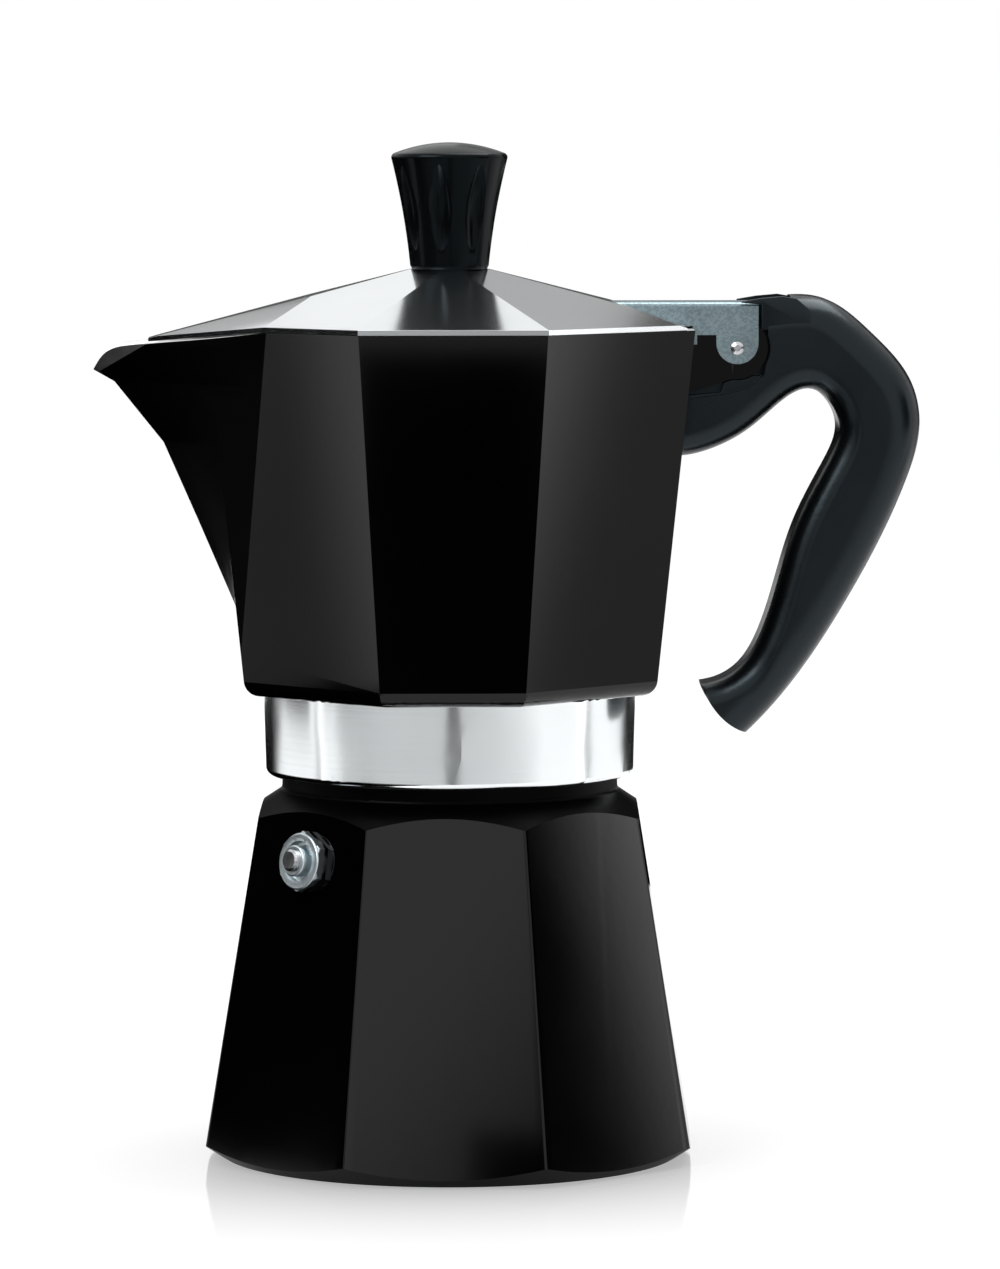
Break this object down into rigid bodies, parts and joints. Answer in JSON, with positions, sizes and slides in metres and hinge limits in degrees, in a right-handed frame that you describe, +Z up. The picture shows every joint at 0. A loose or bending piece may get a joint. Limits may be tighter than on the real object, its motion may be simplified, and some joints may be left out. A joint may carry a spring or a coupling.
{
  "type": "stove-top moka pot",
  "caption": "Eight-sided stove-top moka pot: boiler with safety valve, funnel and seal, screw-on upper pot with spout, handle and a hinged lid with a fluted knob.",
  "frame": {"origin": "centre of the boiler's flat underside, on the pot's vertical axis", "axes": "+Z up along the pot's axis, +X towards the handle and hinge, -X towards the spout"},
  "size_m": [0.1766, 0.1046, 0.2172],
  "materials": {
    "black_paint": "gloss black enamel outside, bare inside",
    "bare_aluminium": "satin",
    "nickel_brass": "bright plated",
    "nickel_steel": "bright plated",
    "stainless": "brushed",
    "galvanised": "galvanised",
    "seal_rubber": "matte",
    "black_plastic": "satin"
  },
  "bodies": {
    "base": {"boiler": "black_paint", "valve_body": "nickel_brass", "valve_washer": "stainless", "valve_cap": "nickel_brass", "valve_spring": "stainless"},
    "plunger": {"valve_plunger": "nickel_brass"},
    "funnel": {"funnel": "bare_aluminium", "funnel_tube": "bare_aluminium", "funnel_screen": "bare_aluminium"},
    "seal": {"gasket": "seal_rubber", "filter_plate": "bare_aluminium"},
    "upper_pot": {"collector": "black_paint", "column": "bare_aluminium", "handle": "black_plastic", "hinge_pin": "nickel_steel"},
    "lid": {"lid": "bare_aluminium", "lid_bracket": "galvanised", "bracket_rivets": "bare_aluminium", "knob": "black_plastic", "knob_screw": "galvanised", "knob_washer": "galvanised"}
  },
  "joints": [
    {"name": "valve_lift", "type": "slide", "parent": "base", "child": "plunger", "axis": [-0.7246, -0.671, 0.1575], "range_m": [0, 0.0012], "stiffness_N_per_m": 1500, "deforming": ["valve_spring"]},
    {"name": "funnel_lift", "type": "slide", "parent": "base", "child": "funnel", "axis": [0, 0, 1], "range_m": [0, 0.084]},
    {"name": "thread_lift", "type": "slide", "parent": "funnel", "child": "seal", "axis": [0, 0, 1], "range_m": [0, 0.009]},
    {"name": "top_turn", "type": "hinge", "parent": "seal", "child": "upper_pot", "pos_m": [0, 0, 0], "axis": [0, 0, 1], "range_deg": [0, 1080]},
    {"name": "lid_swing", "type": "hinge", "parent": "upper_pot", "child": "lid", "pos_m": [0.0612, 0, 0.1735], "axis": [0, 1, 0], "range_deg": [0, 95]}
  ],
  "couplings": [
    {"joint": "thread_lift", "follows": "top_turn", "m_per_rad": 0.00047746}
  ]
}
